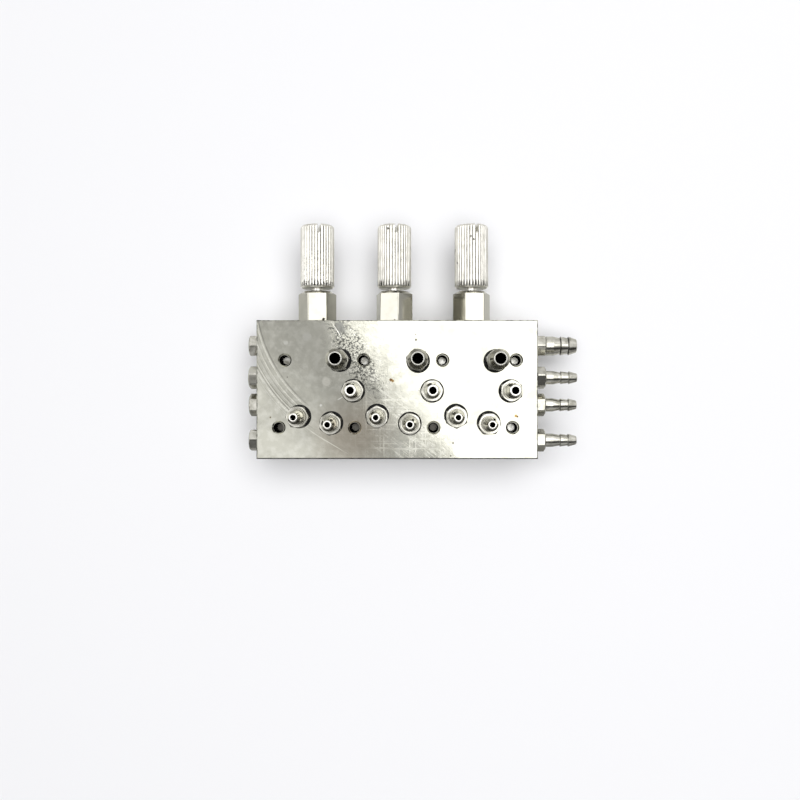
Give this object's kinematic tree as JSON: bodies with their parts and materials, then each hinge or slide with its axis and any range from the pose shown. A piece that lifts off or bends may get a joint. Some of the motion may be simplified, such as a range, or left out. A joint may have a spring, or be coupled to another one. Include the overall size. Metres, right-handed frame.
{
  "type": "diaphragm valve",
  "caption": "Diaphragm valve block with knurled needle valve knobs on one edge and hose barbs on its face and side, for switching air and water to several outlets.",
  "frame": {"origin": "middle of the block's back face", "axes": "+Z out of the face with the hose barbs, +Y along the knobs, +X to the supply barbs"},
  "size_m": [0.0996, 0.0693, 0.0395],
  "materials": {
    "nickel_plated_block": "milled brass, bright nickel plate",
    "nickel_plated_fitting": "turned brass, bright nickel plate",
    "nickel_plated_knob": "turned and knurled brass, satin nickel plate",
    "black_fibre_washer": "matt black",
    "membrane_rubber": "moulded",
    "seal_plastic": "turned",
    "steel_screw": "zinc plated"
  },
  "bodies": {
    "valve_block": {"manifold_block": "nickel_plated_block", "pilot_plate": "nickel_plated_block", "clamp_screws": "steel_screw", "face_barb_washers": "black_fibre_washer", "side_port_washers": "black_fibre_washer", "drive_air_barb_1": "nickel_plated_fitting", "water_barb_1": "nickel_plated_fitting", "cooling_air_barb_1": "nickel_plated_fitting", "signal_barb_1": "nickel_plated_fitting", "drive_air_membrane_1": "membrane_rubber", "water_membrane_1": "membrane_rubber", "cooling_air_membrane_1": "membrane_rubber", "needle_bonnet_1": "nickel_plated_fitting", "bonnet_seal_1": "seal_plastic", "drive_air_barb_2": "nickel_plated_fitting", "water_barb_2": "nickel_plated_fitting", "cooling_air_barb_2": "nickel_plated_fitting", "signal_barb_2": "nickel_plated_fitting", "drive_air_membrane_2": "membrane_rubber", "water_membrane_2": "membrane_rubber", "cooling_air_membrane_2": "membrane_rubber", "needle_bonnet_2": "nickel_plated_fitting", "bonnet_seal_2": "seal_plastic", "drive_air_barb_3": "nickel_plated_fitting", "water_barb_3": "nickel_plated_fitting", "cooling_air_barb_3": "nickel_plated_fitting", "signal_barb_3": "nickel_plated_fitting", "drive_air_membrane_3": "membrane_rubber", "water_membrane_3": "membrane_rubber", "cooling_air_membrane_3": "membrane_rubber", "needle_bonnet_3": "nickel_plated_fitting", "bonnet_seal_3": "seal_plastic", "drive_air_inlet_barb": "nickel_plated_fitting", "drive_air_gallery_plug": "nickel_plated_fitting", "water_inlet_barb": "nickel_plated_fitting", "water_gallery_plug": "nickel_plated_fitting", "cooling_air_inlet_barb": "nickel_plated_fitting", "cooling_air_gallery_plug": "nickel_plated_fitting", "signal_inlet_barb": "nickel_plated_fitting", "signal_gallery_plug": "nickel_plated_fitting"},
    "needle_travel_1": {"stem_seal_1": "seal_plastic"},
    "flow_knob_1": {"flow_knob_1": "nickel_plated_knob"},
    "needle_travel_2": {"stem_seal_2": "seal_plastic"},
    "flow_knob_2": {"flow_knob_2": "nickel_plated_knob"},
    "needle_travel_3": {"stem_seal_3": "seal_plastic"},
    "flow_knob_3": {"flow_knob_3": "nickel_plated_knob"}
  },
  "joints": [
    {"name": "needle_travel_1", "type": "slide", "parent": "valve_block", "child": "needle_travel_1", "axis": [0, 1, 0], "range_m": [0, 0.0015]},
    {"name": "flow_knob_turn_1", "type": "hinge", "parent": "needle_travel_1", "child": "flow_knob_1", "pos_m": [-0.0239, 0.02025, 0.019], "axis": [0, 1, 0], "range_deg": [0, 1080]},
    {"name": "needle_travel_2", "type": "slide", "parent": "valve_block", "child": "needle_travel_2", "axis": [0, 1, 0], "range_m": [0, 0.0015]},
    {"name": "flow_knob_turn_2", "type": "hinge", "parent": "needle_travel_2", "child": "flow_knob_2", "pos_m": [-0.0009, 0.02025, 0.019], "axis": [0, 1, 0], "range_deg": [0, 1080]},
    {"name": "needle_travel_3", "type": "slide", "parent": "valve_block", "child": "needle_travel_3", "axis": [0, 1, 0], "range_m": [0, 0.0015]},
    {"name": "flow_knob_turn_3", "type": "hinge", "parent": "needle_travel_3", "child": "flow_knob_3", "pos_m": [0.0221, 0.02025, 0.019], "axis": [0, 1, 0], "range_deg": [0, 1080]}
  ],
  "couplings": [
    {"joint": "needle_travel_1", "follows": "flow_knob_turn_1", "m_per_rad": 0.000079577},
    {"joint": "needle_travel_2", "follows": "flow_knob_turn_2", "m_per_rad": 0.000079577},
    {"joint": "needle_travel_3", "follows": "flow_knob_turn_3", "m_per_rad": 0.000079577}
  ]
}
